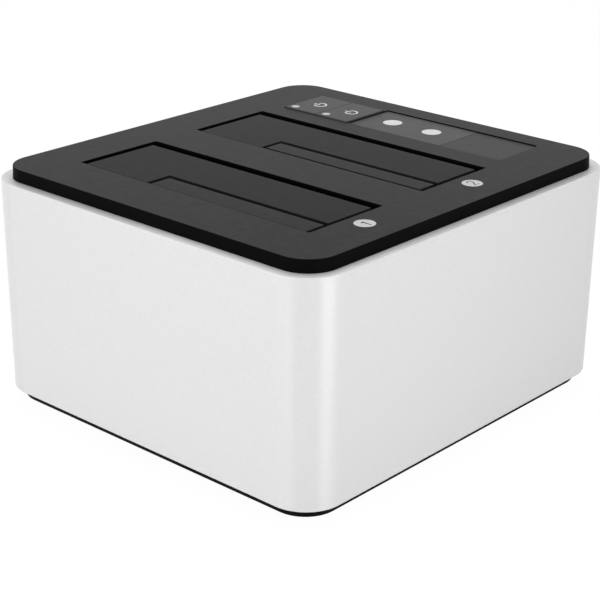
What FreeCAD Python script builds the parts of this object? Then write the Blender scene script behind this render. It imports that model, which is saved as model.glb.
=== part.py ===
import FreeCAD, Part
import math
import os

from FreeCAD import Vector

# Two-bay drive duplicator: a white sleeve, a dark top plate with two sprung-flap slots, and a dark base.
# Millimetres, +Z up, origin on the table under the middle of the footprint.
# The front is -Y. Slot 1 is the one at -X, and the button strip runs along the +X side.

# ---- the drives, and the room the slots leave round them ------------------------------------------
drive_width = 101.6
drive_thickness = 26.1
drive_end_room = 1.65
drive_offset = 4.15
drive_room = 0.25
flap_room = 4.95

# ---- layout of the top plate, from its left, front and rear edges ---------------------------------
left_margin = 20.35
slot_spacing = 20.25
strip_gap = 9.6
panel_width = 24.5
right_margin = 8.9
front_margin = 18.8
rear_margin = 18.7

# ---- sleeve -------------------------------------------------------------------------------------
sleeve_height = 77.3
sleeve_radius = 14.6
sleeve_draft = 0.65
sleeve_wall = 2.4
sleeve_rim_round = 0.7
rim_inset = 9.0
rim_opening_radius = 26.0
lug_size = 4.0
lug_height = 8.0

# ---- base tray and feet -------------------------------------------------------------------------
base_inset = 3.4
base_step = 3.6
base_corner_step = 2.9
base_wall = 2.4
base_fit = 0.25
base_post_radius = 5.0
board_post_radius = 3.2
board_lift = 7.6
foot_height = 2.0
foot_sink = 0.6
foot_radius = 6.0
foot_inset = 19.0
foot_fit = 0.1
foot_round = 0.5

# ---- top plate ----------------------------------------------------------------------------------
plate_inset = 4.0
plate_rise = 4.4
plate_corner_step = 3.5
plate_wall = 2.6
plate_skirt = 2.4
lip_wall = 1.6
lip_fit = 0.2
lip_reach = 1.0
plate_boss_radius = 3.2

# ---- drive slots and wells ----------------------------------------------------------------------
slot_corner = 0.4
well_wall = 2.0
well_side_room = 3.0
well_end_room = 1.5
shelf_z = 43.0
well_floor_lift = 6.4
well_boss_radius = 2.6
well_boss_height = 11.4
well_boss_spread = 9.0

# ---- flaps, their pins and springs --------------------------------------------------------------
hinge_offset = 0.4
hinge_drop = 4.6
knuckle_radius = 1.6
pin_radius = 0.8
pin_running = 0.06
pin_seat = 0.02
arm_root = 5.0
arm_depth = 2.2
arm_width = 8.0
arm_end = 6.0
large_recess = 0.15
large_thickness = 2.0
large_hinge_gap = 3.7
large_free_gap = 0.4
large_end_gap = 2.05
small_recess = 0.3
small_thickness = 2.0
small_width = 7.9
small_length = 69.15
small_hinge_gap = 1.0
small_end_gap = 2.05
small_arm_root = 4.0
notch_gap_x = 1.95
notch_gap_y = 1.55
stop_reach = 1.0
stop_rest_gap = 0.3
stop_root = 2.0
large_stop_at = 14.0
large_stop_width = 6.0
small_stop_at = 3.0
small_stop_width = 3.0
spring_wire = 0.22
spring_play = 0.12
spring_turns = 5
spring_pitch = 0.62
spring_wall_leg = 3.3
large_spring_leg = 3.3
small_spring_leg = 1.9
spring_bend = 0.26
spring_gap = 0.4
pin_lug_gap = 0.25
pin_lug_width = 1.0
pin_lug_foot = 3.0
pin_lug_edge = 0.1

# ---- button strip -------------------------------------------------------------------------------
key_hole_width = 22.4
key_rear_margin = 21.05
key_side_gap = 0.4
key_front_gap = 0.3
key_between = 0.3
key_length = 15.3
key_proud = 0.45
key_travel = 0.6
key_flange_reach = 0.9
key_flange = 1.0
key_flange_gap = 0.2
plunger_radius = 1.5
window_radius = 1.6
window_fit = 0.05
window_proud = 0.05
window_collar = 0.6
window_collar_height = 0.8
window_in = 2.7
window_back = 2.9
light_gap = 0.3
panel_side_step = 0.6
panel_front_margin = 20.55
front_panel_length = 27.0
panel_split_gap = 0.2
panel_recess = 0.45
panel_thickness = 1.2
panel_fit = 0.05
panel_corner = 2.0
status_radius = 3.65
status_stem_radius = 2.7
status_fit = 0.05
status_proud = 0.02
status_in = 13.6
status_rear_gap = 11.1
status_spacing = 18.3
number_radius = 3.55
number_depth = 0.8
number_proud = 0.02
number_shift = 0.65
number_gap = 6.7

# ---- electronics --------------------------------------------------------------------------------
board_thickness = 1.6
board_lug_gap = 0.6
board_rear_inset = 5.0
board_corner = 2.0
board_post_side = 5.8
board_post_front_in = 6.0
board_post_rear_in = 8.2
control_drop = 11.9
control_side = 0.35
control_front_room = 10.5
control_rear_room = 6.0
control_post_radius = 2.2
control_post_in = 2.6
control_post_edge = 2.9
switch_size = 6.0
switch_height = 3.5
switch_stem_radius = 1.7
switch_stem_fit = 0.1
switch_stem_proud = 0.7
switch_bore_depth = 2.5
switch_stem_inside = 1.5
led_x = 3.2
led_y = 2.8
led_height = 1.9
socket_length = 42.0
socket_width = 6.0
socket_height = 12.4
socket_at = 27.0
socket_connector_in = 3.5
socket_fit = 0.4
tongue_slot = 1.6
tongue_depth = 5.5
signal_slot = 10.5
power_slot = 20.5
key_step = 1.4
dc_left = 7.5
dc_width = 9.0
dc_height = 11.0
dc_depth = 13.8
dc_axis_lift = 6.0
dc_nose_radius = 4.0
dc_bore_radius = 2.75
dc_bore_depth = 9.0
dc_pin_radius = 1.05
dc_pin_length = 10.0
port_gap = 0.3
usb_right = 6.5
usb_width = 9.0
usb_height = 3.2
usb_depth = 13.0
usb_shell = 0.3
usb_lift = 0.4
usb_tongue_width = 6.7
usb_tongue = 0.7
usb_tongue_depth = 5.5
header_in = 8.4
header_rear = 12.0
header_length = 16.0
header_width = 5.0
header_height = 4.0
cable_width = 12.0
cable_thickness = 0.8
cable_shift = 8.0
cable_bend_low = 34.0
cable_bend_rise = 12.0
chip_y = 0.0
controller_size = 14.0
controller_height = 1.4
bridge_spread = 32.0
bridge_size = 9.0
bridge_height = 1.2
lead_pitch = 1.27
lead_length = 1.0
lead_width = 0.4
lead_thickness = 0.5
can_count = 3
can_right = 22.0
can_rear_in = 7.2
can_pitch = 10.0
can_radius = 4.0
can_height = 10.0
can_groove_lift = 1.6
can_groove_width = 0.8
can_groove_depth = 0.3
inductor_count = 2
inductor_side = 26.0
inductor_pitch = 10.0
inductor_size = 7.0
inductor_height = 4.0

# ---- fasteners ----------------------------------------------------------------------------------
screw_fit = 0.05
recess_depth = 0.5
recess_reach = 0.6
recess_half_width = 0.14
base_screw_radius = 1.5
base_screw_head = 2.8
base_screw_head_height = 1.8
base_screw_sink = 0.8
base_screw_length = 8.6
base_screw_in_x = 10.6
base_screw_in_y = 10.6
top_screw_radius = 1.25
top_screw_head = 2.4
top_screw_head_height = 1.6
top_screw_length = 5.6
top_screw_in = 14.0
board_screw_radius = 1.25
board_screw_head = 2.4
board_screw_head_height = 1.5
board_screw_length = 6.0
small_screw_radius = 1.0
small_screw_head = 2.0
small_screw_head_height = 1.2
small_screw_length = 8.0
hole_clearance = 0.25

# ---- levels and edges worked out from the sizes above ---------------------------------------------
tiny = 0.001
slot_length = drive_width + 2 * drive_end_room
slot_width = drive_offset + drive_thickness + flap_room
plate_x = left_margin + 2 * slot_width + slot_spacing + strip_gap + panel_width + right_margin
plate_y = front_margin + slot_length + rear_margin
sleeve_x = plate_x + 2 * plate_inset
sleeve_y = plate_y + 2 * plate_inset
plate_radius = sleeve_radius - plate_corner_step
base_radius = sleeve_radius - base_corner_step
base_bottom = foot_height
sleeve_bottom = base_bottom + base_step
rim_z = sleeve_bottom + sleeve_height
top_z = rim_z + plate_rise
plate_under = top_z - plate_wall
rim_under = rim_z - sleeve_wall
tray_floor = base_bottom + base_wall
tray_top = sleeve_bottom + base_wall
board_under = tray_floor + board_lift
board_top = board_under + board_thickness
well_floor = board_top + well_floor_lift
axis_z = top_z - hinge_drop
large_under = top_z - large_recess - large_thickness
small_under = top_z - small_recess - small_thickness
key_top = top_z + key_proud
key_flange_top = plate_under - key_flange_gap
key_bottom = key_flange_top - key_flange
strip_x = plate_x / 2 - right_margin - panel_width
key_width = key_hole_width - 2 * key_side_gap
key_x = strip_x + key_side_gap
key_hole_rear = plate_y / 2 - key_rear_margin
key_front = key_hole_rear - key_side_gap - 2 * key_length - key_between
key_hole_front = key_front - key_front_gap
panel_left = strip_x + panel_side_step
panel_right = strip_x + panel_width
panel_front = panel_front_margin - plate_y / 2
panel_split = panel_front + front_panel_length
status_1_y = key_hole_front - status_rear_gap
panel_top = top_z - panel_recess
panel_floor = panel_top - panel_thickness
control_top = top_z - control_drop
control_under = control_top - board_thickness
switch_top = control_top + switch_height
stem_top = switch_top + switch_stem_proud
slot_front = front_margin - plate_y / 2
slot_rear = slot_front + slot_length
slot_y = (slot_front + slot_rear) / 2
slot_1_x = left_margin + slot_width / 2 - plate_x / 2
slot_centres = [slot_1_x, slot_1_x + slot_width + slot_spacing]
number_y = slot_front - number_gap
pin_front = slot_front - well_end_room - well_wall
pin_rear = slot_rear + well_end_room + well_wall
pin_lug_front = slot_front + small_end_gap + small_length + pin_lug_gap
small_pin_rear = pin_lug_front + pin_lug_width
screw_x = sleeve_x / 2 - base_screw_in_x
screw_y = sleeve_y / 2 - base_screw_in_y
base_half_x = sleeve_x / 2 - sleeve_draft - base_inset
base_half_y = sleeve_y / 2 - sleeve_draft - base_inset
foot_x = base_half_x - foot_inset
foot_y = base_half_y - foot_inset
top_screw_x = sleeve_x / 2 - top_screw_in
top_screw_y = sleeve_y / 2 - top_screw_in
board_half_x = screw_x - lug_size - board_lug_gap
board_front = lug_size + board_lug_gap - screw_y
board_rear = sleeve_y / 2 - board_rear_inset
control_x = strip_x - control_side
control_far = strip_x + panel_width + control_side
control_front = status_1_y - status_spacing - control_front_room
control_rear = key_hole_rear + control_rear_room
header_x = strip_x + header_in
header_y = control_front + header_rear
middle_x = sum(slot_centres) / 2 - flap_room / 2 + drive_offset / 2
dc_x = middle_x - dc_left
usb_x = middle_x + usb_right
can_y = board_rear - can_rear_in
four_corners = [(sx, sy) for sx in (-1, 1) for sy in (-1, 1)]


def box(x0, x1, y0, y1, z0, z1):
    return Part.makeBox(x1 - x0, y1 - y0, z1 - z0, Vector(x0, y0, z0))


def post(x, y, z0, z1, radius):
    return Part.makeCylinder(radius, z1 - z0, Vector(x, y, z0), Vector(0, 0, 1))


def rod(x, z, y0, y1, radius):
    return Part.makeCylinder(radius, y1 - y0, Vector(x, y0, z), Vector(0, 1, 0))


def rounded_wire(x0, x1, y0, y1, radius, z):
    """Closed outline of a rounded rectangle at height z."""
    edges = []
    corners = [(x1 - radius, y1 - radius, 0), (x0 + radius, y1 - radius, 1),
               (x0 + radius, y0 + radius, 2), (x1 - radius, y0 + radius, 3)]
    arcs = []
    for cx, cy, quarter in corners:
        points = []
        for step in (0, 0.5, 1):
            angle = math.pi / 2 * (quarter + step)
            points.append(Vector(cx + radius * math.cos(angle), cy + radius * math.sin(angle), z))
        arcs.append(points)
    for index, points in enumerate(arcs):
        following = arcs[(index + 1) % 4]
        edges.append(Part.Arc(points[0], points[1], points[2]).toShape())
        edges.append(Part.LineSegment(points[2], following[0]).toShape())
    return Part.Wire(edges)


def rounded_block(x0, x1, y0, y1, z0, z1, radius):
    face = Part.Face(rounded_wire(x0, x1, y0, y1, radius, z0))
    return face.extrude(Vector(0, 0, z1 - z0))


def centred_block(half_x, half_y, z0, z1, radius):
    return rounded_block(-half_x, half_x, -half_y, half_y, z0, z1, radius)


def profile_along_y(points, y0, y1):
    """Prism of an XZ outline from y0 to y1."""
    corners = [Vector(x, y0, z) for x, z in points]
    wire = Part.makePolygon(corners + [corners[0]])
    return Part.Face(wire).extrude(Vector(0, y1 - y0, 0))


def profile_along_x(points, x0, x1):
    """Prism of a YZ outline from x0 to x1."""
    corners = [Vector(x0, y, z) for y, z in points]
    wire = Part.makePolygon(corners + [corners[0]])
    return Part.Face(wire).extrude(Vector(x1 - x0, 0, 0))


def join(shapes):
    result = shapes[0]
    for shape in shapes[1:]:
        result = result.fuse(shape)
    return result.removeSplitter()


def cut_all(shape, tools):
    for tool in tools:
        shape = shape.cut(tool)
    return shape


def group(shapes):
    return Part.makeCompound(shapes)


def draft_at(z):
    """How far the sleeve's outside stands in from its top size at height z."""
    return sleeve_draft * (rim_z - z) / sleeve_height


def drafted_block(inset, z0, z1):
    """Block that follows the sleeve's drafted sides, set in by inset."""
    outlines = []
    for z in (z0, z1):
        step = inset + draft_at(z)
        half_x = sleeve_x / 2 - step
        half_y = sleeve_y / 2 - step
        outlines.append(rounded_wire(-half_x, half_x, -half_y, half_y, sleeve_radius - step, z))
    return Part.makeLoft(outlines, True, True)


def screw(x, y, under_head, direction, shank_radius, head_radius, head_height, length):
    """Pan-head screw with a cross recess. Its shank runs up from under_head (1) or down (-1)."""
    axis = Vector(0, 0, direction)
    shank = Part.makeCylinder(shank_radius, length, Vector(x, y, under_head), axis)
    head = Part.makeCylinder(head_radius, head_height, Vector(x, y, under_head), axis * -1)
    outer = under_head - direction * head_height
    inner = outer + direction * head_height * recess_depth
    low = min(outer, inner)
    high = max(outer, inner)
    arm = head_radius * recess_reach
    half = head_radius * recess_half_width
    cross = [box(x - arm, x + arm, y - half, y + half, low, high),
             box(x - half, x + half, y - arm, y + arm, low, high)]
    return cut_all(shank.fuse(head).removeSplitter(), cross)


# ---- sleeve, plate and base -----------------------------------------------------------------------
def port_places():
    """Centre height of the DC inlet and of the USB socket."""
    dc_z = board_top + dc_axis_lift
    usb_z = board_top + usb_lift + usb_height / 2
    return dc_z, usb_z


def pill(x, z, width, height, y0, y1):
    """Flat-sided oval bar along Y."""
    radius = height / 2
    side = width / 2 - radius
    middle = box(x - side, x + side, y0, y1, z - radius, z + radius)
    return join([middle, rod(x - side, z, y0, y1, radius), rod(x + side, z, y0, y1, radius)])


def make_sleeve():
    outside = drafted_block(0, sleeve_bottom, rim_z)
    rim_edges = [edge for edge in outside.Edges
                 if edge.BoundBox.ZMin > rim_z - tiny and edge.BoundBox.ZMax < rim_z + tiny]
    outside = outside.makeFillet(sleeve_rim_round, rim_edges)
    cavity = drafted_block(sleeve_wall, sleeve_bottom, rim_under)
    opening = centred_block(sleeve_x / 2 - rim_inset, sleeve_y / 2 - rim_inset,
                            rim_under, rim_z, rim_opening_radius)
    shell = outside.cut(cavity).cut(opening)
    dc_z, usb_z = port_places()
    reach = sleeve_y / 2
    inner = reach - 3 * sleeve_wall
    shell = shell.cut(rod(dc_x, dc_z, inner, reach, dc_nose_radius + port_gap))
    shell = shell.cut(pill(usb_x, usb_z, usb_width + 2 * port_gap, usb_height + 2 * port_gap, inner, reach))
    lugs = []
    for sx, sy in four_corners:
        x0, x1 = sorted((sx * (screw_x - lug_size), sx * sleeve_x / 2))
        y0, y1 = sorted((sy * (screw_y - lug_size), sy * sleeve_y / 2))
        lug = box(x0, x1, y0, y1, tray_top, tray_top + lug_height).common(cavity)
        hole = post(sx * screw_x, sy * screw_y, tray_top, tray_top + lug_height,
                    base_screw_radius + screw_fit)
        lugs.append(lug.cut(hole))
    shell = join([shell] + lugs)
    for sx, sy in four_corners:
        shell = shell.cut(post(sx * top_screw_x, sy * top_screw_y, rim_under, rim_z,
                               top_screw_radius + hole_clearance))
    return shell


def control_posts():
    """Where the posts that carry the control board stand."""
    near = control_x + control_post_in
    far = control_far - control_post_in
    front = control_front + control_post_edge
    rear = control_rear - control_post_edge
    return [(near, front), (far, front), (near, rear), (far, rear)]


def status_places():
    x = strip_x + status_in
    return [(x, status_1_y), (x, status_1_y - status_spacing)]


def make_top_plate():
    half_x = sleeve_x / 2 - plate_inset
    half_y = sleeve_y / 2 - plate_inset
    plate = centred_block(half_x, half_y, rim_z, top_z, plate_radius)
    hollow = centred_block(half_x - plate_skirt, half_y - plate_skirt,
                           rim_z, plate_under, plate_radius - plate_skirt)
    plate = plate.cut(hollow)
    lip_inset = rim_inset + lip_fit
    lip_outer = centred_block(sleeve_x / 2 - lip_inset, sleeve_y / 2 - lip_inset,
                              rim_under - lip_reach, plate_under, rim_opening_radius - lip_fit)
    lip_inner = centred_block(sleeve_x / 2 - lip_inset - lip_wall, sleeve_y / 2 - lip_inset - lip_wall,
                              rim_under - lip_reach, plate_under,
                              rim_opening_radius - lip_fit - lip_wall)
    pieces = [plate, lip_outer.cut(lip_inner)]
    for sx, sy in four_corners:
        pieces.append(post(sx * top_screw_x, sy * top_screw_y, rim_z, plate_under, plate_boss_radius))
    for x, y in control_posts():
        pieces.append(post(x, y, control_top, plate_under, control_post_radius))
    plate = join(pieces)
    cuts = []
    for centre in slot_centres:
        cuts.append(rounded_block(centre - slot_width / 2, centre + slot_width / 2,
                                  slot_front, slot_rear, plate_under, top_z, slot_corner))
        cuts.append(post(centre + number_shift, number_y, top_z - number_depth, top_z, number_radius))
    cuts.append(box(strip_x, strip_x + key_hole_width, key_hole_front, key_hole_rear, plate_under, top_z))
    cuts.append(rounded_block(panel_left, panel_right, panel_front,
                              key_hole_front + panel_corner, panel_floor, top_z, panel_corner)
                .common(box(panel_left, panel_right, panel_front, key_hole_front,
                            panel_floor, top_z)))
    for x, y in status_places():
        cuts.append(post(x, y, plate_under, panel_floor, status_stem_radius + status_fit))
    for sx, sy in four_corners:
        cuts.append(post(sx * top_screw_x, sy * top_screw_y, rim_z, rim_under + top_screw_length,
                         top_screw_radius + screw_fit))
    for x, y in control_posts():
        cuts.append(post(x, y, control_top, control_under + small_screw_length,
                         small_screw_radius + screw_fit))
    return cut_all(plate, cuts)


def make_base_tray():
    pan = centred_block(base_half_x, base_half_y, base_bottom, sleeve_bottom, base_radius)
    flange_inset = sleeve_wall + base_fit + sleeve_draft
    flange = centred_block(sleeve_x / 2 - flange_inset, sleeve_y / 2 - flange_inset,
                           sleeve_bottom, tray_top, sleeve_radius - flange_inset)
    cavity = centred_block(base_half_x - base_wall, base_half_y - base_wall,
                           tray_floor, tray_top, base_radius - base_wall)
    posts = [post(sx * screw_x, sy * screw_y, tray_floor, tray_top, base_post_radius)
             for sx, sy in four_corners]
    tray = join([pan, flange]).cut(cut_all(cavity, posts))
    board_posts = [post(x, y, tray_floor, board_under, board_post_radius) for x, y in board_posts_at()]
    tray = join([tray] + board_posts)
    head_seat = base_bottom + base_screw_sink + base_screw_head_height
    cuts = []
    for sx, sy in four_corners:
        cuts.append(post(sx * screw_x, sy * screw_y, base_bottom, head_seat,
                         base_screw_head + hole_clearance))
        cuts.append(post(sx * screw_x, sy * screw_y, head_seat, tray_top,
                         base_screw_radius + hole_clearance))
        cuts.append(post(sx * foot_x, sy * foot_y, base_bottom, base_bottom + foot_sink,
                         foot_radius + foot_fit))
    for x, y in board_posts_at():
        cuts.append(post(x, y, board_top - board_screw_length, board_under,
                         board_screw_radius + screw_fit))
    return cut_all(tray, cuts)


def make_foot(sx, sy):
    foot = post(sx * foot_x, sy * foot_y, 0, base_bottom + foot_sink, foot_radius)
    floor_edge = [edge for edge in foot.Edges if edge.BoundBox.ZMax < tiny]
    return foot.makeFillet(foot_round, floor_edge)


# ---- drive wells --------------------------------------------------------------------------------
def guide_span(centre):
    """X range and Y range of the lower guide that holds a full-size drive upright."""
    x0 = centre - slot_width / 2 + drive_offset - drive_room
    x1 = x0 + drive_thickness + 2 * drive_room
    half = drive_width / 2 + drive_room
    return x0, x1, slot_y - half, slot_y + half


def well_bosses(centre):
    x0, x1, y0, y1 = guide_span(centre)
    middle = (x0 + x1) / 2
    reach = well_wall + well_boss_radius / 2
    return [(middle + side * well_boss_spread, y)
            for side in (-1, 1) for y in (y0 - reach, y1 + reach)]


def socket_place(centre):
    """Centre of the drive socket."""
    x = centre - slot_width / 2 + drive_offset + socket_connector_in
    return x, slot_front + socket_at


def make_well(centre):
    half_x = slot_width / 2 + well_side_room
    half_y = slot_length / 2 + well_end_room
    x0, x1, y0, y1 = guide_span(centre)
    upper = box(centre - half_x - well_wall, centre + half_x + well_wall,
                slot_y - half_y - well_wall, slot_y + half_y + well_wall, shelf_z, plate_under)
    upper_room = box(centre - half_x, centre + half_x, slot_y - half_y, slot_y + half_y,
                     shelf_z + well_wall, plate_under)
    lower = box(x0 - well_wall, x1 + well_wall, y0 - well_wall, y1 + well_wall,
                board_top, shelf_z + well_wall)
    lower_room = box(x0, x1, y0, y1, well_floor + well_wall, shelf_z + well_wall)
    under_room = box(x0, x1, y0, y1, board_top, well_floor)
    bosses = [post(x, y, board_top, board_top + well_boss_height, well_boss_radius)
              for x, y in well_bosses(centre)]
    well = join([upper, lower] + bosses)
    small_axis, large_axis = hinge_axes(centre)
    wall_x = centre - half_x
    lug_top = axis_z + knuckle_radius
    lug_bottom = axis_z - knuckle_radius
    lug = box(wall_x, small_axis + knuckle_radius, pin_lug_front, small_pin_rear, lug_bottom, lug_top)
    lug_foot = box(wall_x, small_axis + pin_lug_edge, small_pin_rear, small_pin_rear + pin_lug_foot,
                   lug_bottom, lug_top)
    socket_x, socket_y = socket_place(centre)
    half_width = socket_width / 2 + socket_fit
    half_length = socket_length / 2 + socket_fit
    cuts = [upper_room, lower_room, under_room,
            box(socket_x - half_width, socket_x + half_width, socket_y - half_length,
                socket_y + half_length, well_floor, well_floor + well_wall)]
    for x, y in well_bosses(centre):
        cuts.append(post(x, y, board_top, board_under + small_screw_length,
                         small_screw_radius + screw_fit))
    well = join([cut_all(well, cuts), lug, lug_foot])
    return cut_all(well, [rod(large_axis, axis_z, pin_front, pin_rear, pin_radius + pin_seat),
                          rod(small_axis, axis_z, pin_front, small_pin_rear, pin_radius + pin_seat)])


# ---- flaps --------------------------------------------------------------------------------------
def hinge_axes(centre):
    """X of the small flap's axis and of the large flap's axis."""
    return centre - slot_width / 2 - hinge_offset, centre + slot_width / 2 + hinge_offset


def hinge_arm(axis_x, edge_x, root_x, under, y0, y1):
    """Arm and knuckle that carry a flap out to its pin under the plate."""
    outline = [(root_x, under), (edge_x, under), (axis_x, axis_z + knuckle_radius),
               (axis_x, axis_z - knuckle_radius), (root_x, under - arm_depth)]
    return profile_along_y(outline, y0, y1).fuse(rod(axis_x, axis_z, y0, y1, knuckle_radius))


def stop_tab(x0, x1, edge_y, side, under):
    """Tab under the flap's end that meets the plate from below; side is -1 at the front, 1 at the rear."""
    tip = slot_front - stop_reach if side < 0 else slot_rear + stop_reach
    root = edge_y - side * stop_root
    tab_top = plate_under - stop_rest_gap
    outline = [(root, under), (edge_y, under), (edge_y, tab_top), (tip, tab_top),
               (tip, under - arm_depth), (root, under - arm_depth)]
    return profile_along_x(outline, x0, x1)


def make_large_flap(centre):
    x0 = centre - slot_width / 2 + large_free_gap
    x1 = centre + slot_width / 2 - large_hinge_gap
    y0 = slot_front + large_end_gap
    y1 = slot_rear - large_end_gap
    notch_x = centre - slot_width / 2 + small_hinge_gap + small_width + notch_gap_x
    notch_y = slot_front + small_end_gap + small_length + notch_gap_y
    top = top_z - large_recess
    panel = box(x0, x1, y0, y1, large_under, top).cut(box(x0, notch_x, y0, notch_y, large_under, top))
    axis_x = hinge_axes(centre)[1]
    stop_x = centre - slot_width / 2 + large_stop_at
    pieces = [panel]
    for start in (y0 + arm_end, y1 - arm_end - arm_width):
        pieces.append(hinge_arm(axis_x, x1, x1 - arm_root, large_under, start, start + arm_width))
    pieces.append(stop_tab(stop_x, stop_x + large_stop_width, y0, -1, large_under))
    pieces.append(stop_tab(stop_x, stop_x + large_stop_width, y1, 1, large_under))
    flap = join(pieces)
    return flap.cut(rod(axis_x, axis_z, pin_front, pin_rear, pin_radius + pin_running))


def make_small_flap(centre):
    x0 = centre - slot_width / 2 + small_hinge_gap
    x1 = x0 + small_width
    y0 = slot_front + small_end_gap
    y1 = y0 + small_length
    panel = box(x0, x1, y0, y1, small_under, top_z - small_recess)
    axis_x = hinge_axes(centre)[0]
    stop_x = centre - slot_width / 2 + small_stop_at
    pieces = [panel]
    for start in (y0 + arm_end, y1 - arm_end - arm_width):
        pieces.append(hinge_arm(axis_x, x0, x0 + small_arm_root, small_under, start, start + arm_width))
    pieces.append(stop_tab(stop_x, stop_x + small_stop_width, y0, -1, small_under))
    flap = join(pieces)
    return flap.cut(rod(axis_x, axis_z, pin_front, small_pin_rear, pin_radius + pin_running))


def make_spring(axis_x, wall_side, flap_leg, y0):
    """Torsion spring round a pin: one leg towards the flap's edge, one down beside the well's wall.

    The wall is at +X of the axis when wall_side is 1, and at -X when it is -1.
    """
    radius = pin_radius + spring_play + spring_wire
    coil_length = (spring_turns + 0.25) * spring_pitch
    helix = Part.makeHelix(spring_pitch, coil_length, radius)
    section = Part.Wire(Part.makeCircle(spring_wire, Vector(radius, 0, 0), Vector(0, 1, 0)))
    coil = Part.Wire(helix).makePipeShell([section], True, True)
    coil.rotate(Vector(0, 0, 0), Vector(0, 0, 1), -90)
    coil.rotate(Vector(0, 0, 0), Vector(1, 0, 0), -90)
    start = Vector(0, 0, radius)
    end = Vector(radius, coil_length, 0)
    pieces = [coil,
              Part.makeSphere(spring_bend, start),
              Part.makeSphere(spring_bend, end),
              Part.makeCylinder(spring_wire, flap_leg, start, Vector(-1, 0, 0)),
              Part.makeCylinder(spring_wire, spring_wall_leg, end, Vector(0, 0, -1))]
    spring = pieces[0].multiFuse(pieces[1:])
    if wall_side < 0:
        spring = spring.mirror(Vector(0, 0, 0), Vector(1, 0, 0))
    spring.translate(Vector(axis_x, y0, axis_z))
    return spring


# ---- button strip -------------------------------------------------------------------------------
def key_span(index):
    """Y range of a power key; key 0 is at the rear and works slot 1."""
    y0 = key_front + (1 - index) * (key_length + key_between)
    return y0, y0 + key_length


def key_centre(index):
    y0, y1 = key_span(index)
    return key_x + key_width / 2, (y0 + y1) / 2


def window_place(index):
    return key_x + window_in, key_span(index)[1] - window_back


def make_key(index):
    y0, y1 = key_span(index)
    cap = box(key_x, key_x + key_width, y0, y1, key_bottom, key_top)
    flange = box(key_x - key_flange_reach, key_x + key_width + key_flange_reach, y0, y1,
                 key_bottom, key_flange_top)
    x, y = key_centre(index)
    plunger = post(x, y, stem_top, key_bottom, plunger_radius)
    key = join([cap, flange, plunger])
    wx, wy = window_place(index)
    return key.cut(post(wx, wy, key_bottom, key_top, window_radius + window_fit))


def make_window(index):
    x, y = window_place(index)
    bottom = control_top + led_height + light_gap + key_travel
    lens = post(x, y, bottom, key_top + window_proud, window_radius)
    collar = post(x, y, key_bottom - window_collar_height, key_bottom, window_radius + window_collar)
    return join([lens, collar])


def make_switch(index):
    x, y = key_centre(index)
    half = switch_size / 2
    body = box(x - half, x + half, y - half, y + half, control_top, switch_top)
    return body.cut(post(x, y, switch_top - switch_bore_depth, switch_top,
                         switch_stem_radius + switch_stem_fit))


def make_stem(index):
    x, y = key_centre(index)
    return post(x, y, switch_top - switch_stem_inside, stem_top, switch_stem_radius)


def panel_piece(y0, y1):
    """Overlay let into the plate's shallow pocket between y0 and y1."""
    whole = rounded_block(panel_left + panel_fit, panel_right - panel_fit,
                          panel_front + panel_fit, key_hole_front + panel_corner,
                          panel_floor, panel_top, panel_corner - panel_fit)
    return whole.common(box(panel_left, panel_right, y0, y1, panel_floor, panel_top))


def make_status_panel():
    panel = panel_piece(panel_split + panel_split_gap / 2, key_hole_front - panel_fit)
    holes = [post(x, y, panel_floor, panel_top, status_radius + status_fit) for x, y in status_places()]
    return cut_all(panel, holes)


def make_front_panel():
    return panel_piece(panel_front, panel_split - panel_split_gap / 2)


def make_status_light(place):
    x, y = place
    head = post(x, y, panel_floor, panel_top + status_proud, status_radius)
    stem = post(x, y, control_top + led_height + light_gap, panel_floor, status_stem_radius)
    return join([head, stem])


def make_number_disc(centre):
    return post(centre + number_shift, number_y, top_z - number_depth, top_z + number_proud,
                number_radius)


# ---- electronics --------------------------------------------------------------------------------
def board_posts_at():
    x = board_half_x - board_post_side
    front = board_front + board_post_front_in
    rear = board_rear - board_post_rear_in
    return [(-x, front), (-x, rear), (x, front), (x, rear)]


def make_main_board():
    board = rounded_block(-board_half_x, board_half_x, board_front, board_rear,
                          board_under, board_top, board_corner)
    holes = [post(x, y, board_under, board_top, board_screw_radius + hole_clearance)
             for x, y in board_posts_at()]
    for centre in slot_centres:
        for x, y in well_bosses(centre):
            holes.append(post(x, y, board_under, board_top, small_screw_radius + hole_clearance))
    return cut_all(board, holes)


def make_control_board():
    board = rounded_block(control_x, control_far, control_front, control_rear,
                          control_under, control_top, board_corner)
    holes = [post(x, y, control_under, control_top, small_screw_radius + hole_clearance)
             for x, y in control_posts()]
    return cut_all(board, holes)


def make_socket(centre):
    x, y = socket_place(centre)
    top = board_top + socket_height
    body = box(x - socket_width / 2, x + socket_width / 2, y - socket_length / 2,
               y + socket_length / 2, board_top, top)
    rest = (socket_length - signal_slot - power_slot) / 3
    half = tongue_slot / 2
    start = y - socket_length / 2 + rest
    for length in (signal_slot, power_slot):
        body = body.cut(box(x - half, x + half, start, start + length, top - tongue_depth, top))
        body = body.cut(box(x - half, x + half + key_step, start, start + key_step,
                            top - tongue_depth, top))
        start += length + rest
    return body


def chip(x, y, size, height):
    """Square chip body with a row of leads along both sides."""
    half = size / 2
    body = box(x - half, x + half, y - half, y + half, board_top, board_top + height)
    count = int(size / lead_pitch) - 1
    first = y - (count - 1) * lead_pitch / 2
    leads = []
    for index in range(count):
        lead_y = first + index * lead_pitch
        leads.append(box(x - half - lead_length, x + half + lead_length,
                         lead_y - lead_width / 2, lead_y + lead_width / 2,
                         board_top, board_top + lead_thickness))
    return join([body] + leads)


def make_bridge_chips():
    return group([chip(middle_x, chip_y + side * bridge_spread, bridge_size, bridge_height)
                  for side in (-1, 1)])


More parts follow.
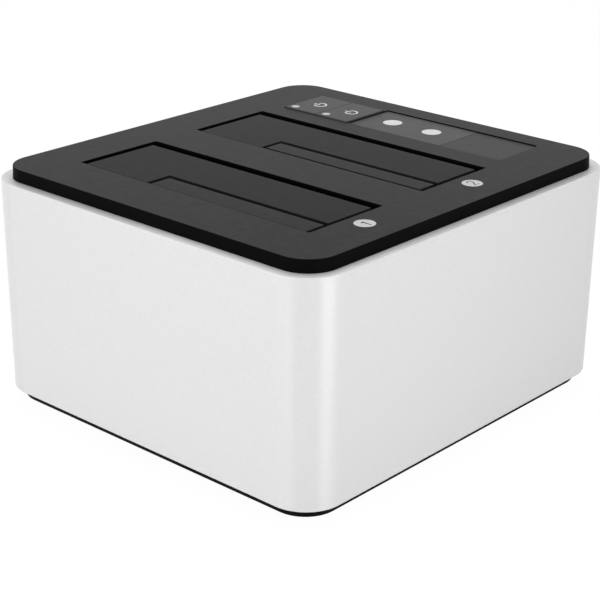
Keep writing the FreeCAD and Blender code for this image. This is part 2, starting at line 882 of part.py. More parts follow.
def make_capacitors():
    """Electrolytic cans, each with its rolled groove near the foot."""
    cans = []
    for index in range(can_count):
        x = middle_x + can_right + index * can_pitch
        body = post(x, can_y, board_top, board_top + can_height, can_radius)
        low = board_top + can_groove_lift
        groove = post(x, can_y, low, low + can_groove_width, can_radius)
        cans.append(body.cut(groove.cut(post(x, can_y, low, low + can_groove_width,
                                             can_radius - can_groove_depth))))
    return group(cans)


def make_inductors():
    half = inductor_size / 2
    blocks = []
    for index in range(inductor_count):
        x = board_half_x - inductor_side + index * inductor_pitch
        blocks.append(box(x - half, x + half, can_y - half, can_y + half,
                          board_top, board_top + inductor_height))
    return group(blocks)


def make_leds():
    places = status_places() + [window_place(0), window_place(1)]
    return group([box(x - led_x / 2, x + led_x / 2, y - led_y / 2, y + led_y / 2,
                      control_top, control_top + led_height) for x, y in places])


def make_headers():
    half_x = header_length / 2
    half_y = header_width / 2
    low = box(header_x - half_x, header_x + half_x, header_y - half_y, header_y + half_y,
              board_top, board_top + header_height)
    high_y = header_y + cable_shift
    high = box(header_x - half_x, header_x + half_x, high_y - half_y, high_y + half_y,
               control_under - header_height, control_under)
    return group([low, high])


def make_cable():
    """Flat cable from the main board up to the control board, with one easy bend."""
    low_z = board_top + header_height
    high_z = control_under - header_height
    half = cable_thickness / 2
    centre_line = [(header_y, low_z), (header_y, cable_bend_low),
                   (header_y + cable_shift, cable_bend_low + cable_bend_rise),
                   (header_y + cable_shift, high_z)]
    outline = [(y - half, z) for y, z in centre_line] + [(y + half, z) for y, z in reversed(centre_line)]
    return profile_along_x(outline, header_x - cable_width / 2, header_x + cable_width / 2)


def make_dc_inlet():
    dc_z = port_places()[0]
    face_y = sleeve_y / 2 - draft_at(dc_z) - port_gap
    body_rear = sleeve_y / 2 - draft_at(board_top) - sleeve_wall - port_gap
    body = box(dc_x - dc_width / 2, dc_x + dc_width / 2, body_rear - dc_depth, body_rear,
               board_top, board_top + dc_height)
    nose = rod(dc_x, dc_z, body_rear - sleeve_wall, face_y, dc_nose_radius)
    return join([body, nose]).cut(rod(dc_x, dc_z, face_y - dc_bore_depth, face_y, dc_bore_radius))


def make_dc_pin():
    dc_z = port_places()[0]
    face_y = sleeve_y / 2 - draft_at(dc_z) - port_gap
    tip_y = face_y - dc_bore_depth + dc_pin_length - sleeve_wall
    return rod(dc_x, dc_z, face_y - dc_bore_depth, tip_y, dc_pin_radius)


def make_usb_socket():
    usb_z = port_places()[1]
    face_y = sleeve_y / 2 - draft_at(usb_z) - port_gap
    shell = pill(usb_x, usb_z, usb_width, usb_height, face_y - usb_depth, face_y)
    room = pill(usb_x, usb_z, usb_width - 2 * usb_shell, usb_height - 2 * usb_shell,
                face_y - usb_depth / 2, face_y)
    legs = [box(usb_x + side * usb_width / 2 - (usb_shell if side > 0 else 0),
                usb_x + side * usb_width / 2 + (usb_shell if side < 0 else 0),
                face_y - usb_depth, face_y - usb_depth + sleeve_wall, board_top, usb_z)
            for side in (-1, 1)]
    return join([shell.cut(room)] + legs)


def make_usb_tongue():
    usb_z = port_places()[1]
    face_y = sleeve_y / 2 - draft_at(usb_z) - port_gap
    root_y = face_y - usb_depth / 2
    half = usb_tongue_width / 2
    return box(usb_x - half, usb_x + half, root_y, root_y + usb_tongue_depth,
               usb_z - usb_tongue / 2, usb_z + usb_tongue / 2)


# ---- screws -------------------------------------------------------------------------------------
def make_base_screws():
    seat = base_bottom + base_screw_sink + base_screw_head_height
    return group([screw(sx * screw_x, sy * screw_y, seat, 1, base_screw_radius, base_screw_head,
                        base_screw_head_height, base_screw_length) for sx, sy in four_corners])


def make_top_screws():
    return group([screw(sx * top_screw_x, sy * top_screw_y, rim_under, 1, top_screw_radius,
                        top_screw_head, top_screw_head_height, top_screw_length)
                  for sx, sy in four_corners])


def make_board_screws():
    return group([screw(x, y, board_top, -1, board_screw_radius, board_screw_head,
                        board_screw_head_height, board_screw_length) for x, y in board_posts_at()])


def make_small_screws(places, under_head):
    return group([screw(x, y, under_head, 1, small_screw_radius, small_screw_head,
                        small_screw_head_height, small_screw_length) for x, y in places])


# ---- every node ---------------------------------------------------------------------------------
def make_nodes():
    nodes = {
        "outer_sleeve": make_sleeve(),
        "top_plate": make_top_plate(),
        "base_tray": make_base_tray(),
        "main_board": make_main_board(),
        "control_board": make_control_board(),
        "status_panel": make_status_panel(),
        "front_panel": make_front_panel(),
        "status_leds": make_leds(),
        "cable_headers": make_headers(),
        "control_cable": make_cable(),
        "dc_inlet": make_dc_inlet(),
        "dc_pin": make_dc_pin(),
        "usb_socket": make_usb_socket(),
        "usb_tongue": make_usb_tongue(),
        "controller_chip": chip(middle_x, chip_y, controller_size, controller_height),
        "bridge_chips": make_bridge_chips(),
        "capacitors": make_capacitors(),
        "inductors": make_inductors(),
        "base_screws": make_base_screws(),
        "top_screws": make_top_screws(),
        "board_screws": make_board_screws(),
        "control_screws": make_small_screws(control_posts(), control_under),
    }
    for index, (sx, sy) in enumerate(four_corners):
        nodes["rubber_foot_%d" % (index + 1)] = make_foot(sx, sy)
    for index, centre in enumerate(slot_centres):
        number = index + 1
        small_axis, large_axis = hinge_axes(centre)
        spring_start = slot_front + arm_end + arm_width + spring_gap
        nodes["drive_well_%d" % number] = make_well(centre)
        nodes["large_flap_%d" % number] = make_large_flap(centre)
        nodes["small_flap_%d" % number] = make_small_flap(centre)
        nodes["large_flap_pin_%d" % number] = rod(large_axis, axis_z, pin_front, pin_rear, pin_radius)
        nodes["small_flap_pin_%d" % number] = rod(small_axis, axis_z, pin_front, small_pin_rear, pin_radius)
        nodes["large_flap_spring_%d" % number] = make_spring(large_axis, 1, large_spring_leg,
                                                             spring_start + large_end_gap)
        nodes["small_flap_spring_%d" % number] = make_spring(small_axis, -1, small_spring_leg,
                                                             spring_start + small_end_gap)
        nodes["drive_socket_%d" % number] = make_socket(centre)
        nodes["well_screws_%d" % number] = make_small_screws(well_bosses(centre), board_under)
        nodes["number_disc_%d" % number] = make_number_disc(centre)
        nodes["power_key_%d" % number] = make_key(index)
        nodes["key_window_%d" % number] = make_window(index)
        nodes["key_switch_%d" % number] = make_switch(index)
        nodes["switch_stem_%d" % number] = make_stem(index)
        nodes["status_light_%d" % number] = make_status_light(status_places()[index])
    return nodes


def main():
    os.makedirs("parts", exist_ok=True)
    for name, shape in make_nodes().items():
        shape.exportStep("parts/%s.step" % name)
        print("%-22s solids %d  volume %.1f  valid %s"
              % (name, len(shape.Solids), shape.Volume, shape.isValid()))


main()
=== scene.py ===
import math
import bmesh
import bpy
from mathutils import Matrix, Vector


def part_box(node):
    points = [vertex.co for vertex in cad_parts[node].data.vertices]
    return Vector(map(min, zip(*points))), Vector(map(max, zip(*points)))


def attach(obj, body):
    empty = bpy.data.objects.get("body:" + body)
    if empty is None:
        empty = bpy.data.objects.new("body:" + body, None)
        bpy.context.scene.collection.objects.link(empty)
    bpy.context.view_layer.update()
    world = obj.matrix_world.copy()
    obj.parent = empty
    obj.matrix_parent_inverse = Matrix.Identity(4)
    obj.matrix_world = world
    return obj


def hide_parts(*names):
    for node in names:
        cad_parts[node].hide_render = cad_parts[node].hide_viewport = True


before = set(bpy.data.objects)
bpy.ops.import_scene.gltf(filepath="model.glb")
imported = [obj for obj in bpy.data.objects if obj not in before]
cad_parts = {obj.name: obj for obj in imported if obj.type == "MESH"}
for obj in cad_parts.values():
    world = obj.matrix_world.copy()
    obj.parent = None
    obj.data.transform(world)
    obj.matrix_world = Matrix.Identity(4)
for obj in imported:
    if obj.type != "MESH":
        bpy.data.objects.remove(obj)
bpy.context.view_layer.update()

tightCorner = 0.00005  # smallest corner that an inset loop keeps
overlap = 0.0002  # how far joined solids run into each other
overshoot = 0.001  # how far a cutter runs past its piece
inkSunk = 0.00002  # how far printed marks reach into their piece


def roundedLoop(low, high, radius, z, steps=12):
    # points round a rectangle with round corners, anticlockwise from the +X side
    loop = []
    centres = [(high.x - radius, high.y - radius), (low.x + radius, high.y - radius),
               (low.x + radius, low.y + radius), (high.x - radius, low.y + radius)]
    for quarter, (cx, cy) in enumerate(centres):
        for step in range(steps + 1):
            angle = math.pi / 2 * (quarter + step / steps)
            loop.append(Vector((cx + radius * math.cos(angle), cy + radius * math.sin(angle), z)))
    return loop


def insetLoop(low, high, radius, inset, z, steps):
    step = Vector((inset, inset))
    return roundedLoop(low + step, high - step, max(radius - inset, tightCorner), z, steps)


def circleLoop(centre, radius, z, steps=48):
    return [Vector((centre.x + radius * math.cos(math.tau * i / steps),
                    centre.y + radius * math.sin(math.tau * i / steps), z)) for i in range(steps)]


def quarterRound(radius, steps=4):
    # (inset, drop) pairs of a rounded edge, from the side up to the top
    pairs = []
    for step in range(steps + 1):
        angle = math.pi / 2 * step / steps
        pairs.append((radius * (1 - math.cos(angle)), radius * (1 - math.sin(angle))))
    return pairs


def loftMesh(loops, closed=False):
    # skins a list of equal loops, capped at both ends or closed into a ring
    bm = bmesh.new()
    rows = [[bm.verts.new(p) for p in loop] for loop in loops]
    pairs = list(zip(rows, rows[1:]))
    if closed:
        pairs.append((rows[-1], rows[0]))
    else:
        bm.faces.new(rows[0])
        bm.faces.new(rows[-1])
    for a, b in pairs:
        for i in range(len(a)):
            j = (i + 1) % len(a)
            bm.faces.new((a[i], a[j], b[j], b[i]))
    bmesh.ops.recalc_face_normals(bm, faces=bm.faces)
    return bm


def prismMesh(points, offset):
    # flat outline pushed along offset
    bm = bmesh.new()
    near = [bm.verts.new(p) for p in points]
    far = [bm.verts.new(p + offset) for p in points]
    bm.faces.new(near)
    bm.faces.new(far)
    for i in range(len(near)):
        j = (i + 1) % len(near)
        bm.faces.new((near[i], near[j], far[j], far[i]))
    bmesh.ops.recalc_face_normals(bm, faces=bm.faces)
    return bm


def asObject(name, bm):
    mesh = bpy.data.meshes.new(name)
    bm.to_mesh(mesh)
    bm.free()
    obj = bpy.data.objects.new(name, mesh)
    bpy.context.scene.collection.objects.link(obj)
    return obj


def settle(obj):
    # applies what modifiers the piece has
    graph = bpy.context.evaluated_depsgraph_get()
    mesh = bpy.data.meshes.new_from_object(obj.evaluated_get(graph))
    obj.modifiers.clear()
    old = obj.data
    obj.data = mesh
    bpy.data.meshes.remove(old)


def joinSolids(obj, tools, how):
    # cuts the tools out of a piece or adds them to it, then throws them away
    for tool in tools:
        step = obj.modifiers.new("solid", "BOOLEAN")
        step.operation = how
        step.solver = "EXACT"
        step.object = tool
    settle(obj)
    for tool in tools:
        bpy.data.objects.remove(tool)
    return obj


def softenEdges(obj, width, segments=2, limit=35):
    step = obj.modifiers.new("edges", "BEVEL")
    step.width = width
    step.segments = segments
    step.limit_method = "ANGLE"
    step.angle_limit = math.radians(limit)
    step.use_clamp_overlap = False
    settle(obj)


def shadeWell(obj, angle=32):
    obj.data.shade_smooth()
    obj.data.set_sharp_from_angle(angle=math.radians(angle))
    step = obj.modifiers.new("normals", "WEIGHTED_NORMAL")
    step.keep_sharp = True


def place(obj, body, material, stands=()):
    # gives a finished piece its body and material, and hides the nodes it stands for
    if not obj.data.materials:
        obj.data.materials.append(material)
    shadeWell(obj)
    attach(obj, body)
    if stands:
        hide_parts(*stands)
    return obj


def coverWalls(obj, top, walls, upright, above=math.inf):
    # the top grey on the faces that look up or lie high, a second grey on the rest: painted shade on the
    # plate and key walls, painted light on the flap walls
    obj.data.materials.append(top)
    obj.data.materials.append(walls)
    for face in obj.data.polygons:
        shown = face.normal.z > upright or face.center.z > above
        face.material_index = 0 if shown else 1


def flat(vector):
    return Vector((vector.x, vector.y))


def middle(node):
    low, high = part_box(node)
    return (low + high) / 2


noiseLow, noiseHigh = 0.3, 0.7  # a noise has most of its values between these
roughSway = 0.05  # how far the roughness moves with the grain
metalSway = 0.08  # the same for the small metal parts
metalDull, metalBright = 0.9, 1.08  # how far their scratches darken and lighten them


def startMaterial(name):
    material = bpy.data.materials.new(name)
    material.use_nodes = True
    tree = material.node_tree
    shader = tree.nodes["Principled BSDF"]
    coordinates = tree.nodes.new("ShaderNodeTexCoord")
    return material, tree, shader, coordinates.outputs["Object"]


def grainNoise(tree, where, size, detail=3.0, roughness=0.55):
    # size is the width of one grain, in metres
    noise = tree.nodes.new("ShaderNodeTexNoise")
    noise.inputs["Scale"].default_value = 1 / size
    noise.inputs["Detail"].default_value = detail
    noise.inputs["Roughness"].default_value = roughness
    tree.links.new(where, noise.inputs["Vector"])
    return noise.outputs["Fac"]


def spread(tree, value, low, high, start=noiseLow, end=noiseHigh):
    # maps the middle of a noise onto low..high
    node = tree.nodes.new("ShaderNodeMapRange")
    node.inputs["From Min"].default_value = start
    node.inputs["From Max"].default_value = end
    node.inputs["To Min"].default_value = low
    node.inputs["To Max"].default_value = high
    tree.links.new(value, node.inputs["Value"])
    return node.outputs["Result"]


def tone(tree, value, dark, light):
    # blends two close colours by a noise
    ramp = tree.nodes.new("ShaderNodeValToRGB")
    ramp.color_ramp.elements[0].position = noiseLow
    ramp.color_ramp.elements[1].position = noiseHigh
    ramp.color_ramp.elements[0].color = (*dark, 1)
    ramp.color_ramp.elements[1].color = (*light, 1)
    tree.links.new(value, ramp.inputs["Fac"])
    return ramp.outputs["Color"]


def mathStep(tree, operation, *values, clamp=False):
    # plain numbers are set on the node, the rest is linked to it
    node = tree.nodes.new("ShaderNodeMath")
    node.operation = operation
    node.use_clamp = clamp
    for socket, value in zip(node.inputs, values):
        if isinstance(value, float):
            socket.default_value = value
        else:
            tree.links.new(value, socket)
    return node.outputs["Value"]


def relief(tree, shader, height, depth, strength=1.0, under=None):
    # a bump, laid over another one where under is given
    bump = tree.nodes.new("ShaderNodeBump")
    bump.inputs["Distance"].default_value = depth
    bump.inputs["Strength"].default_value = strength
    tree.links.new(height, bump.inputs["Height"])
    if under:
        tree.links.new(under, bump.inputs["Normal"])
    tree.links.new(bump.outputs["Normal"], shader.inputs["Normal"])
    return bump.outputs["Normal"]


def grey(level, tint=0.0):
    return (level * (1 - tint), level, level * (1 + tint))


def mouldedPlastic(name, look):
    # plastic from a sparked mould: a fine grain, a slow mottling and a roughness that follows the grain
    material, tree, shader, where = startMaterial(name)
    fine = grainNoise(tree, where, look["grain"])
    broad = grainNoise(tree, where, look["mottle"], detail=4.0)
    mixed = mathStep(tree, "MULTIPLY_ADD", fine, 0.5, mathStep(tree, "MULTIPLY", broad, 0.5))
    dark = grey(look["level"] * (1 - look["vary"]), look["tint"])
    light = grey(look["level"] * (1 + look["vary"]), look["tint"])
    tree.links.new(tone(tree, mixed, dark, light), shader.inputs["Base Color"])
    rough = spread(tree, fine, look["rough"] - roughSway, look["rough"] + roughSway)
    tree.links.new(rough, shader.inputs["Roughness"])
    shader.inputs["Specular IOR Level"].default_value = look["gloss"]
    relief(tree, shader, fine, look["depth"])
    return material


# level and vary set the grey and its mottling, grain and mottle the widths of the two noises
plasticLooks = {
    "plateTop": dict(level=0.0165, vary=0.5, tint=0.0, grain=0.0004, mottle=0.0032,
                     rough=0.36, gloss=0.038, depth=0.000012),
    # the plate's walls take a much darker copy of the plate plastic: painted shade on its sides and slot
    # walls
    "plateSidePaintedShade": dict(level=0.0038, vary=0.10, tint=0.0, grain=0.0005, mottle=0.009,
                      rough=0.45, gloss=0.01, depth=0.000004),
    "flap": dict(level=0.0085, vary=0.5, tint=0.0, grain=0.0004, mottle=0.0032,
                 rough=0.36, gloss=0.028, depth=0.000012),
    "smallFlap": dict(level=0.0145, vary=0.5, tint=0.0, grain=0.0004, mottle=0.0032,
                      rough=0.36, gloss=0.032, depth=0.000012),
    # the flap walls take their own grey, lighter than the flap tops, to set how dark the gaps round the flaps
    # look: painted light on walls in shade
    "flapWallPaintedLight": dict(level=0.024, vary=0.2, tint=0.0, grain=0.00030, mottle=0.010,
                     rough=0.62, gloss=0.03, depth=0.000012),
    "key": dict(level=0.08, vary=0.12, tint=0.0, grain=0.00028, mottle=0.004,
                rough=0.36, gloss=0.035, depth=0.00001),
    # the key walls take a much darker copy of the key plastic: painted shade in the gaps round the keys
    "keyWallPaintedShade": dict(level=0.01, vary=0.05, tint=0.0, grain=0.00028, mottle=0.008,
                    rough=0.6, gloss=0.05, depth=0.00001),
    "inlay": dict(level=0.089, vary=0.12, tint=0.0, grain=0.00022, mottle=0.004,
                  rough=0.36, gloss=0.035, depth=0.000005),
    "inlayFront": dict(level=0.052, vary=0.12, tint=0.0, grain=0.00022, mottle=0.004,
                       rough=0.36, gloss=0.035, depth=0.000005),
    "well": dict(level=0.0025, vary=0.15, tint=0.0, grain=0.0004, mottle=0.012,
                 rough=0.6, gloss=0.05, depth=0.00001),
    "base": dict(level=0.0025, vary=0.12, tint=0.0, grain=0.0005, mottle=0.012,
                 rough=0.55, gloss=0.06, depth=0.000012),
    "nylon": dict(level=0.012, vary=0.12, tint=0.0, grain=0.0003, mottle=0.006,
                  rough=0.45, gloss=0.4, depth=0.000006),
    "chip": dict(level=0.014, vary=0.15, tint=0.02, grain=0.0002, mottle=0.003,
                 rough=0.5, gloss=0.4, depth=0.000005),
    "ferrite": dict(level=0.05, vary=0.12, tint=0.02, grain=0.0003, mottle=0.003,
                    rough=0.7, gloss=0.3, depth=0.00001),
    "cableJacket": dict(level=0.30, vary=0.05, tint=0.01, grain=0.0004, mottle=0.006,
                        rough=0.5, gloss=0.4, depth=0.00001),
    "rubber": dict(level=0.02, vary=0.18, tint=0.0, grain=0.0005, mottle=0.004,
                   rough=0.85, gloss=0.2, depth=0.00002),
    "lightWhite": dict(level=0.76, vary=0.015, tint=0.003, grain=0.0004, mottle=0.003,
                       rough=0.35, gloss=0.5, depth=0.000003),
    "discWhite": dict(level=0.60, vary=0.015, tint=0.003, grain=0.0004, mottle=0.003,
                      rough=0.35, gloss=0.5, depth=0.000003),
    "lens": dict(level=0.57, vary=0.06, tint=0.01, grain=0.0003, mottle=0.001,
                 rough=0.4, gloss=0.5, depth=0.000006),
    "whitePrint": dict(level=0.85, vary=0.03, tint=0.0, grain=0.0002, mottle=0.002,
                       rough=0.55, gloss=0.4, depth=0.000003),
    "darkPrint": dict(level=0.035, vary=0.08, tint=0.0, grain=0.0002, mottle=0.002,
                      rough=0.6, gloss=0.3, depth=0.000003),
    "ledResin": dict(level=0.65, vary=0.04, tint=-0.04, grain=0.0004, mottle=0.002,
                     rough=0.3, gloss=0.5, depth=0.000004),
}
plastics = {name: mouldedPlastic(name, look) for name, look in plasticLooks.items()}


def brushedSilver():
    # satin silver with a very fine grain round the sleeve, so that lamps show as upright bands at its corners
    look = dict(level=0.762, vary=0.018, metal=0.13, gloss=0.35, rough=0.43, aniso=0.85, turn=0.25,
                line=0.0003, stretch=0.006, drift=0.0011, depth=0.000004, peel=0.0007, peelDepth=0.000005)
    material, tree, shader, where = startMaterial("brushedSilver")
    squeeze = tree.nodes.new("ShaderNodeMapping")
    along = look["line"] / look["stretch"]
    squeeze.inputs["Scale"].default_value = (along, along, 1)
    tree.links.new(where, squeeze.inputs["Vector"])
    lines = grainNoise(tree, squeeze.outputs["Vector"], look["line"], detail=2.0)
    drift = grainNoise(tree, where, look["drift"], detail=2.0)
    dark = grey(look["level"] * (1 - look["vary"]))
    light = grey(look["level"] * (1 + look["vary"]))
    tree.links.new(tone(tree, drift, dark, light), shader.inputs["Base Color"])
    shader.inputs["Metallic"].default_value = look["metal"]
    rough = spread(tree, lines, look["rough"] - roughSway, look["rough"] + roughSway)
    tree.links.new(rough, shader.inputs["Roughness"])
    shader.inputs["Specular IOR Level"].default_value = look["gloss"]
    shader.inputs["Anisotropic"].default_value = look["aniso"]
    shader.inputs["Anisotropic Rotation"].default_value = look["turn"]
    around = tree.nodes.new("ShaderNodeTangent")
    around.direction_type = "RADIAL"
    around.axis = "Z"
    tree.links.new(around.outputs["Tangent"], shader.inputs["Tangent"])
    under = relief(tree, shader, lines, look["depth"])
    peel = grainNoise(tree, where, look["peel"], detail=1.0)
    relief(tree, shader, peel, look["peelDepth"], under=under)
    return material


def metalFinish(name, look):
    # drawn or plated metal: fine scratches stretched along one axis
    material, tree, shader, where = startMaterial(name)
    stretch = tree.nodes.new("ShaderNodeMapping")
    stretch.inputs["Scale"].default_value = look["stretch"]
    tree.links.new(where, stretch.inputs["Vector"])
    scratches = grainNoise(tree, stretch.outputs["Vector"], look["grain"], detail=4.0)
    dark = grey(look["level"] * metalDull, look["tint"])
    light = grey(look["level"] * metalBright, look["tint"])
    tree.links.new(tone(tree, scratches, dark, light), shader.inputs["Base Color"])
    shader.inputs["Metallic"].default_value = 1.0
    rough = spread(tree, scratches, look["rough"] - metalSway, look["rough"] + metalSway)
    tree.links.new(rough, shader.inputs["Roughness"])
    relief(tree, shader, scratches, look["depth"])
    return material


def boardMask():
    # green solder mask over faint copper tracks
    look = dict(dark=(0.012, 0.075, 0.03), light=(0.02, 0.13, 0.055), track=0.0022, edgeLow=0.45,
                edgeHigh=0.55, rough=0.35, depth=0.00003, relief=0.5)
    material, tree, shader, where = startMaterial("boardMask")
    cells = tree.nodes.new("ShaderNodeTexVoronoi")
    cells.distance = "MANHATTAN"
    cells.feature = "F1"
    cells.inputs["Scale"].default_value = 1 / look["track"]
    tree.links.new(where, cells.inputs["Vector"])
    tracks = spread(tree, cells.outputs["Distance"], 0.0, 1.0, look["edgeLow"], look["edgeHigh"])
    tree.links.new(tone(tree, tracks, look["light"], look["dark"]), shader.inputs["Base Color"])
    shader.inputs["Roughness"].default_value = look["rough"]
    relief(tree, shader, tracks, look["depth"], strength=look["relief"])
    return material


silver = brushedSilver()
metalLooks = {
    "screwZinc": dict(level=0.62, tint=0.01, grain=0.0006, stretch=(1, 1, 1), rough=0.32, depth=0.000006),
    "springWire": dict(level=0.16, tint=0.01, grain=0.0003, stretch=(1, 1, 1), rough=0.3, depth=0.000004),
    "pinSteel": dict(level=0.18, tint=0.0, grain=0.0004, stretch=(1, 0.1, 1), rough=0.25, depth=0.000004),
    "nickel": dict(level=0.66, tint=-0.02, grain=0.0005, stretch=(1, 0.2, 1), rough=0.28, depth=0.000004),
    "canMetal": dict(level=0.75, tint=0.01, grain=0.0004, stretch=(1, 1, 0.1), rough=0.3, depth=0.000004),
}
metals = {name: metalFinish(name, look) for name, look in metalLooks.items()}
board = boardMask()
print("finishes ready")


sleeveLow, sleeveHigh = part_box("outer_sleeve")
plateLow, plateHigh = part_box("top_plate")
sleeve = dict(radius=0.0146, draft=0.00065, wall=0.0024, rimRound=0.0005, footRound=0.0004, rimInset=0.0090,
              openingRadius=0.026, cutDepth=0.0096, portChamfer=0.0004, portMouth=0.00064, portGap=0.0003,
              inletRadius=0.004, inletAxis=0.006, usbHeight=0.0032, hair=0.00001, cornerSteps=24,
              rimSteps=6)


def sleeveLoop(inset, z, radius=None):
    # the sides lean in slightly towards the bottom
    lean = sleeve["draft"] * (sleeveHigh.z - z) / (sleeveHigh.z - sleeveLow.z)
    if radius is None:
        radius = sleeve["radius"] - inset - lean
    step = Vector((inset + lean, inset + lean))
    return roundedLoop(flat(sleeveLow) + step, flat(sleeveHigh) - step, radius, z, sleeve["cornerSteps"])


def portCutter(name, low, high):
    # a round-ended bar along Y through the rear wall, opened out at the outer face; low and high are (x, z)
    wallOut = sleeveHigh.y - sleeve["draft"]
    chamferFoot = wallOut - sleeve["portMouth"] + sleeve["portChamfer"]
    rounding = (high.y - low.y) / 2 - sleeve["hair"]  # just short of a full round
    loops = []
    for y, grow in ((wallOut - sleeve["cutDepth"], 0), (chamferFoot, 0),
                    (wallOut + sleeve["portChamfer"], sleeve["portMouth"])):
        reach = Vector((grow, grow))
        loop = roundedLoop(low - reach, high + reach, rounding + grow, y)
        loops.append([Vector((p.x, p.z, p.y)) for p in loop])
    return asObject(name, loftMesh(loops))


def buildSleeve():
    loops = []
    for inset, drop in quarterRound(sleeve["footRound"])[::-1]:
        loops.append(sleeveLoop(inset, sleeveLow.z + drop))
    for inset, drop in quarterRound(sleeve["rimRound"], sleeve["rimSteps"]):
        loops.append(sleeveLoop(inset, sleeveHigh.z - drop))
    loops.append(sleeveLoop(sleeve["rimInset"], sleeveHigh.z, sleeve["openingRadius"]))
    loops.append(sleeveLoop(sleeve["rimInset"], sleeveHigh.z - sleeve["wall"], sleeve["openingRadius"]))
    loops.append(sleeveLoop(sleeve["wall"], sleeveHigh.z - sleeve["wall"]))
    loops.append(sleeveLoop(sleeve["wall"], sleeveLow.z))
    body = asObject("outerSleeve", loftMesh(loops, closed=True))
    inlet = Vector((middle("dc_inlet").x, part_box("dc_inlet")[0].z + sleeve["inletAxis"]))
    reach = Vector((1, 1)) * (sleeve["inletRadius"] + sleeve["portGap"])
    usbLow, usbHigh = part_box("usb_socket")
    gap = Vector((1, 1)) * sleeve["portGap"]
    usbFrom = Vector((usbLow.x, usbHigh.z - sleeve["usbHeight"])) - gap
    usbTo = Vector((usbHigh.x, usbHigh.z)) + gap
    cutters = [portCutter("inletHole", inlet - reach, inlet + reach), portCutter("usbHole", usbFrom, usbTo)]
    joinSolids(body, cutters, "DIFFERENCE")
    place(body, "housing", silver, ["outer_sleeve"])


buildSleeve()
print("outer sleeve ready")


plate = dict(radius=0.0111, flare=0.0002, edgeRound=0.0002, skirt=0.0024, wall=0.0026, mouthRound=0.0001,
             slotWidth=0.0352, slotLength=0.1049, slotCorner=0.0006, keyReach=0.0009, keyGap=0.0004,
             keyFrontGap=0.0003, keyCorner=0.0003, inlayCorner=0.0020, inlayGap=0.00005, discDepth=0.0008,
             upright=0.9, cornerSteps=24, mouthSteps=8, softSteps=3)


def slotBox(number):
    # the wells stand centred under the slots
    centre = flat(middle("drive_well_%d" % number))
    half = Vector((plate["slotWidth"], plate["slotLength"])) / 2
    return centre - half, centre + half


def mouthCutter(name, low, high, radius, bottom):
    # cuts down to bottom and leaves a softened mouth at the plate's top
    soft = plate["mouthRound"]
    steps = plate["mouthSteps"]
    loops = [roundedLoop(low, high, radius, bottom, steps)]
    for inset, drop in quarterRound(soft, plate["softSteps"]) + [(soft, -overshoot)]:
        grow = Vector((inset, inset))
        loops.append(roundedLoop(low - grow, high + grow, radius + inset, plateTop - drop, steps))
    return asObject(name, loftMesh(loops))


keyLow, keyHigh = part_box("power_key_2")
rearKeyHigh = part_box("power_key_1")[1]
inlayLow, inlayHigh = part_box("status_panel")
frontInlayLow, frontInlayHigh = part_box("front_panel")
discLow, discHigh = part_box("number_disc_1")
discRadius = (discHigh.x - discLow.x) / 2
plateTop = plateHigh.z


def inlayShape(name, low, high, bottom, top, corner, rounding=0.0):
    # rounded at the front end only, square where it meets the keys
    steps = plate["mouthSteps"]
    edge = quarterRound(rounding, plate["softSteps"]) if rounding else [(0.0, 0.0)]
    loops = []
    for inset, z in [(0.0, bottom)] + [(inset, top - drop) for inset, drop in edge]:
        loop = []
        radius = corner - inset
        for quarter, cx in ((2, low.x + corner), (3, high.x - corner)):
            for step in range(steps + 1):
                angle = math.pi / 2 * (quarter + step / steps)
                y = low.y + corner + radius * math.sin(angle)
                loop.append(Vector((cx + radius * math.cos(angle), y, z)))
        loop.append(Vector((high.x - inset, high.y - inset, z)))
        loop.append(Vector((low.x + inset, high.y - inset, z)))
        loops.append(loop)
    return asObject(name, loftMesh(loops))


def buildPlate():
    low, high = flat(plateLow), flat(plateHigh)
    bottom = sleeveHigh.z
    loops = [insetLoop(low, high, plate["radius"], -plate["flare"], bottom, plate["cornerSteps"])]
    for inset, drop in quarterRound(plate["edgeRound"]):
        loops.append(insetLoop(low, high, plate["radius"], inset, plateTop - drop, plate["cornerSteps"]))
    body = asObject("topPlate", loftMesh(loops))
    under = plateTop - plate["wall"]
    skirt = Vector((plate["skirt"], plate["skirt"]))
    hollow = [roundedLoop(low + skirt, high - skirt, plate["radius"] - plate["skirt"], z)
              for z in (bottom - overshoot, under)]
    cutters = [asObject("hollow", loftMesh(hollow))]
    for number in (1, 2):
        slotLow, slotHigh = slotBox(number)
        cutters.append(mouthCutter("slotHole", slotLow, slotHigh, plate["slotCorner"], under - overshoot))
        disc = middle("number_disc_%d" % number)
        depths = (plateTop - plate["discDepth"], plateTop + overshoot)
        cutters.append(asObject("discHole", loftMesh([circleLoop(disc, discRadius, z) for z in depths])))
    keyHoleLow = Vector((keyLow.x + plate["keyReach"] - plate["keyGap"], keyLow.y - plate["keyFrontGap"]))
    keyHoleHigh = Vector((keyHigh.x - plate["keyReach"] + plate["keyGap"], rearKeyHigh.y + plate["keyGap"]))
    cutters.append(mouthCutter("keyHole", keyHoleLow, keyHoleHigh, plate["keyCorner"], under - overshoot))
    gap = Vector((plate["inlayGap"], plate["inlayGap"]))
    pocketLow, pocketHigh = flat(frontInlayLow) - gap, flat(inlayHigh) + gap
    cutters.append(inlayShape("inlayPocket", pocketLow, Vector((pocketHigh.x, keyHoleLow.y)), inlayLow.z,
                              plateTop + overshoot, plate["inlayCorner"]))
    joinSolids(body, cutters, "DIFFERENCE")
    # the plate's walls take the darker grey: painted shade
    coverWalls(body, plastics["plateTop"], plastics["plateSidePaintedShade"], plate["upright"])
    place(body, "housing", None, ["top_plate"])


buildPlate()
print("top plate ready")


